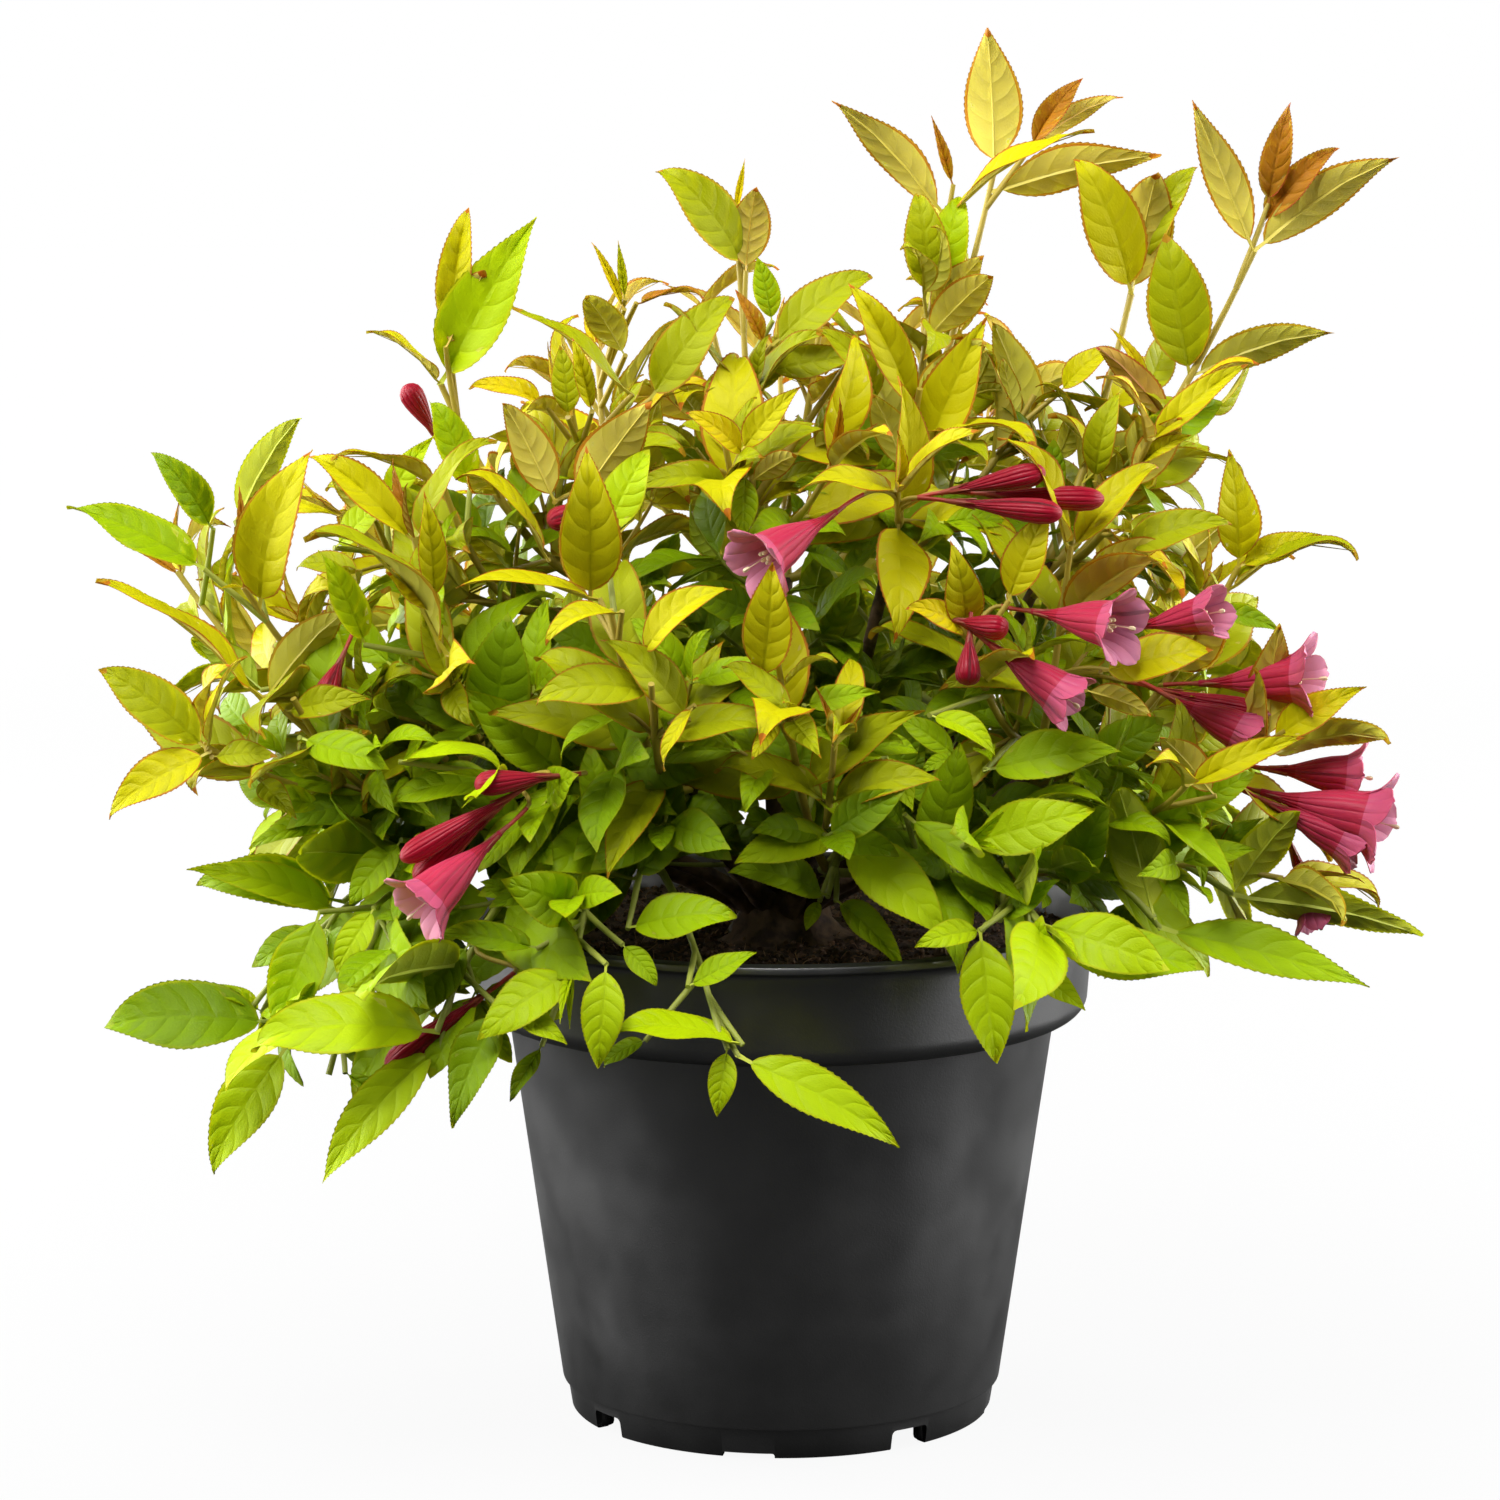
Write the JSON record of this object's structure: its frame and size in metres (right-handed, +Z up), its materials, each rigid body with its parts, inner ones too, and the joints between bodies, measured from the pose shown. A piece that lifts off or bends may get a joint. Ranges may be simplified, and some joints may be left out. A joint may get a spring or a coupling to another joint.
{
  "type": "potted weigela shrub",
  "caption": "Small flowering shrub with arching leafy shoots and funnel blooms, rooted in soil in a round tapered nursery pot.",
  "frame": {"origin": "centre of the pot's flat underside, on the surface that the pot stands on", "axes": "+Z up along the pot's axis, -Y towards the side seen in the picture, +X to its right"},
  "size_m": [0.4658, 0.3627, 0.4854],
  "materials": {
    "pot": "matte black moulded plastic with a fine grain",
    "soil": "moist crumbly potting soil",
    "wood": "rough brown bark",
    "foliage": "satin leaves, lime green to gold with bronze tips"
  },
  "bodies": {
    "root": {"bough_back": "wood", "bough_back_left": "wood", "bough_back_right": "wood", "bough_centre": "wood", "bough_front": "wood", "bough_front_left": "wood", "bough_left": "wood", "bough_left_high": "wood", "bough_left_low": "wood", "bough_right": "wood", "bough_right_high": "wood", "bough_right_low": "wood", "bough_tall": "wood", "foliage_back_low_1": "foliage", "foliage_back_low_2": "foliage", "foliage_back_low_3": "foliage", "foliage_back_low_4": "foliage", "foliage_back_mid_1": "foliage", "foliage_back_mid_2": "foliage", "foliage_back_mid_3": "foliage", "foliage_back_mid_4": "foliage", "foliage_back_top_1": "foliage", "foliage_back_top_2": "foliage", "foliage_back_top_3": "foliage", "foliage_centre_crest": "foliage", "foliage_centre_top": "foliage", "foliage_flower_left": "foliage", "foliage_front_centre": "foliage", "foliage_front_left": "foliage", "foliage_front_low_left": "foliage", "foliage_front_right": "foliage", "foliage_front_tuft": "foliage", "foliage_left_arch": "foliage", "foliage_left_crest": "foliage", "foliage_left_lime": "foliage", "foliage_left_low": "foliage", "foliage_left_olive": "foliage", "foliage_left_rosette": "foliage", "foliage_left_shoulder": "foliage", "foliage_left_tip": "foliage", "foliage_right_centre": "foliage", "foliage_right_crest": "foliage", "foliage_right_fill": "foliage", "foliage_right_low": "foliage", "foliage_right_mid": "foliage", "foliage_right_rosette": "foliage", "foliage_right_shoulder": "foliage", "foliage_right_top": "foliage", "foliage_rim_left": "foliage", "foliage_rim_right": "foliage", "foliage_tall": "foliage", "foliage_top_left": "foliage", "foliage_trail": "foliage", "foliage_under_tall": "foliage", "pot": "pot", "root_crown": "wood", "soil": "soil"}
  },
  "joints": []
}
